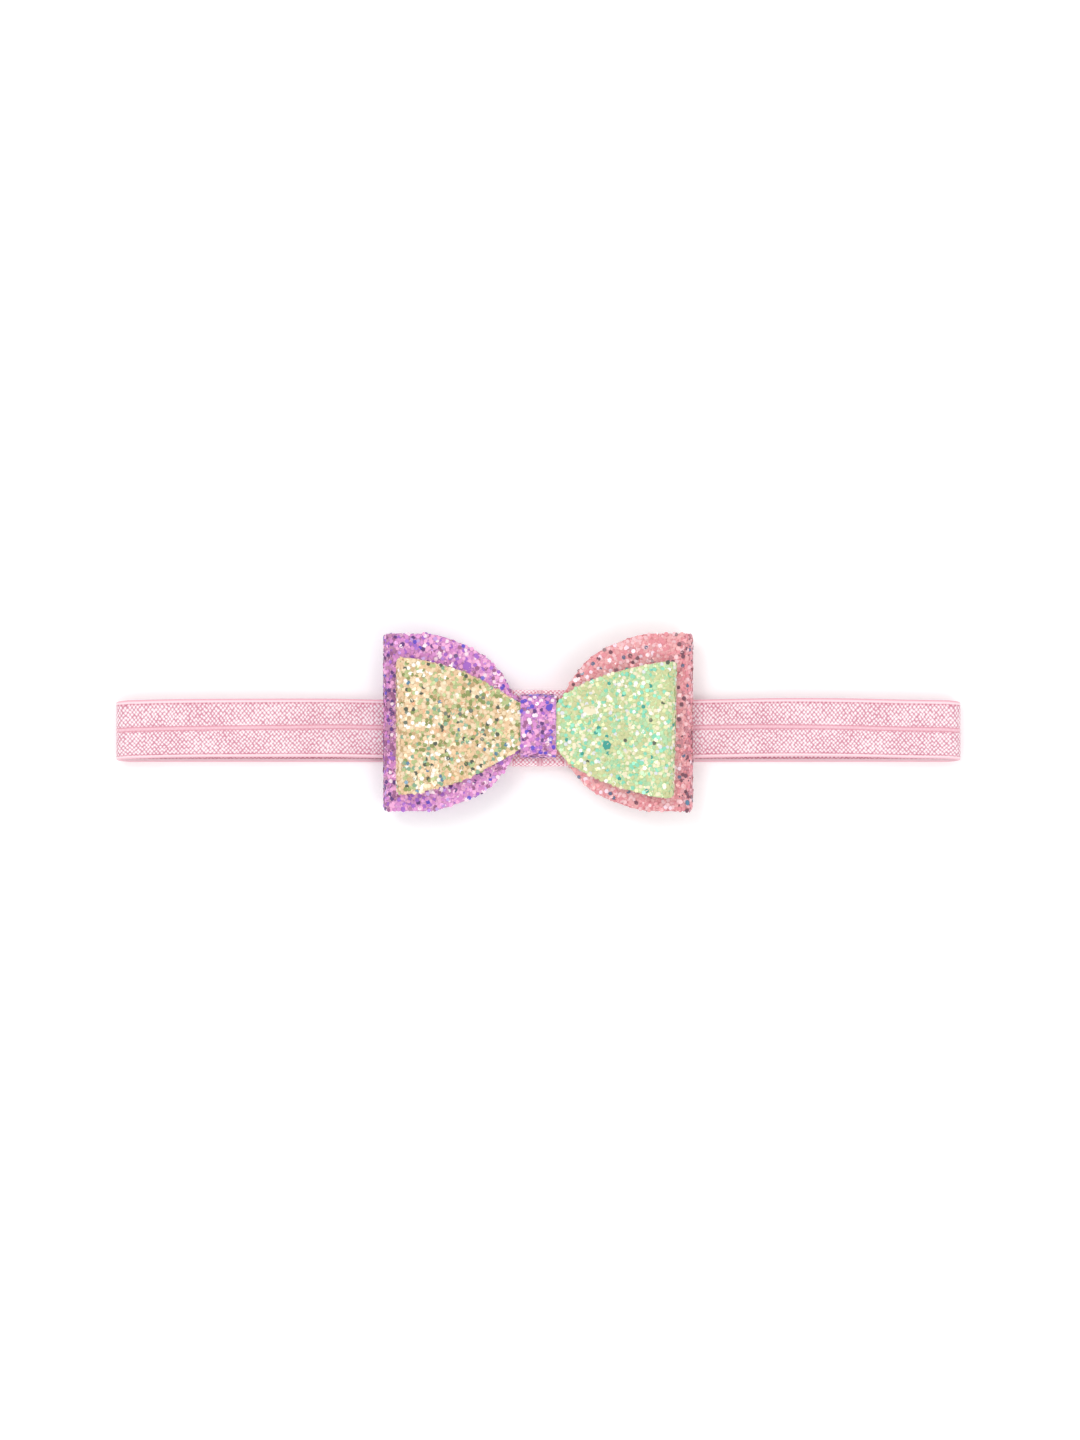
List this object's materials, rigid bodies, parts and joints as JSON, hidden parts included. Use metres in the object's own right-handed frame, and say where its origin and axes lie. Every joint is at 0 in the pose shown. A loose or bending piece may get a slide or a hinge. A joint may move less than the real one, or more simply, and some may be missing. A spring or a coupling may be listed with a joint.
{
  "type": "hair bow",
  "caption": "Double glitter hair bow with two layered loops each side and a centre wrap, on a flat elastic headband.",
  "frame": {"origin": "on the surface the band lies on, under the middle of the big bow and of the band's length", "axes": "X along the flattened band, +Y towards the bow's upper edge, +Z out of the bow's face"},
  "size_m": [0.217, 0.0454, 0.0189],
  "materials": {
    "elastic": "satin",
    "thread": "satin",
    "backing_cloth": "matte",
    "glitter_orchid": "gloss",
    "glitter_coral": "gloss",
    "glitter_cream": "gloss",
    "glitter_mint": "gloss",
    "glitter_violet": "gloss",
    "hot_glue": "satin"
  },
  "bodies": {
    "bow_and_band": {"band_back": "elastic", "band_front_left": "elastic", "band_front_right": "elastic", "band_keeper": "elastic", "band_join_stitches": "thread", "big_loop_left_backing": "backing_cloth", "big_loop_right_backing": "backing_cloth", "small_loop_left_backing": "backing_cloth", "small_loop_right_backing": "backing_cloth", "wrap_backing": "backing_cloth", "big_loop_left_glitter": "glitter_orchid", "big_loop_right_glitter": "glitter_coral", "small_loop_left_glitter": "glitter_cream", "small_loop_right_glitter": "glitter_mint", "wrap_glitter": "glitter_violet", "keeper_glue": "hot_glue", "bow_glue_pad": "hot_glue", "wrap_glue": "hot_glue", "big_bow_glue": "hot_glue", "bows_glue": "hot_glue", "small_bow_glue": "hot_glue"},
    "left_end": {"band_end_left": "elastic"},
    "right_end": {"band_end_right": "elastic"}
  },
  "joints": [
    {"name": "left_stretch", "type": "slide", "parent": "bow_and_band", "child": "left_end", "axis": [-1, 0, 0], "range_m": [0, 0.055], "stiffness_N_per_m": 120, "deforming": ["band_front_left", "band_back"]},
    {"name": "right_stretch", "type": "slide", "parent": "bow_and_band", "child": "right_end", "axis": [1, 0, 0], "range_m": [0, 0.055], "stiffness_N_per_m": 120, "deforming": ["band_front_right", "band_back"]}
  ]
}
